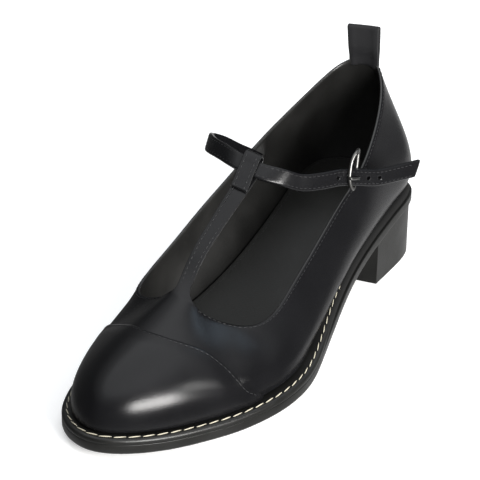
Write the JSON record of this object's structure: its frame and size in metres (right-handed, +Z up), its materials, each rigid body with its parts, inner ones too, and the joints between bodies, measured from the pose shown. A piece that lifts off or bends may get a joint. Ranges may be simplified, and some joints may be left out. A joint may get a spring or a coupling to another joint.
{
  "type": "low heel shoe",
  "caption": "Black leather low block heel shoe with a capped round toe, welted sole, open throat with a T-bar, buckled ankle strap and a pull loop at the back of the collar.",
  "frame": {"origin": "middle of the shoe's outline seen from above, on the floor", "axes": "+X from the heel to the toe, +Y to the outer (lateral) side, +Z up"},
  "size_m": [0.2695, 0.0962, 0.1118],
  "materials": {
    "leather": "polished",
    "sole_edge": "satin",
    "sock": "matte",
    "ribbon": "matte",
    "metal": "dark polished"
  },
  "bodies": {
    "root": {"ankle_strap": "leather", "buckle_frame": "metal", "buckle_prong": "metal", "buckle_tab": "leather", "heel_block": "sole_edge", "insole": "sock", "outsole": "sole_edge", "pull_loop": "ribbon", "toe_cap": "leather", "upper": "leather", "welt": "sole_edge"}
  },
  "joints": []
}
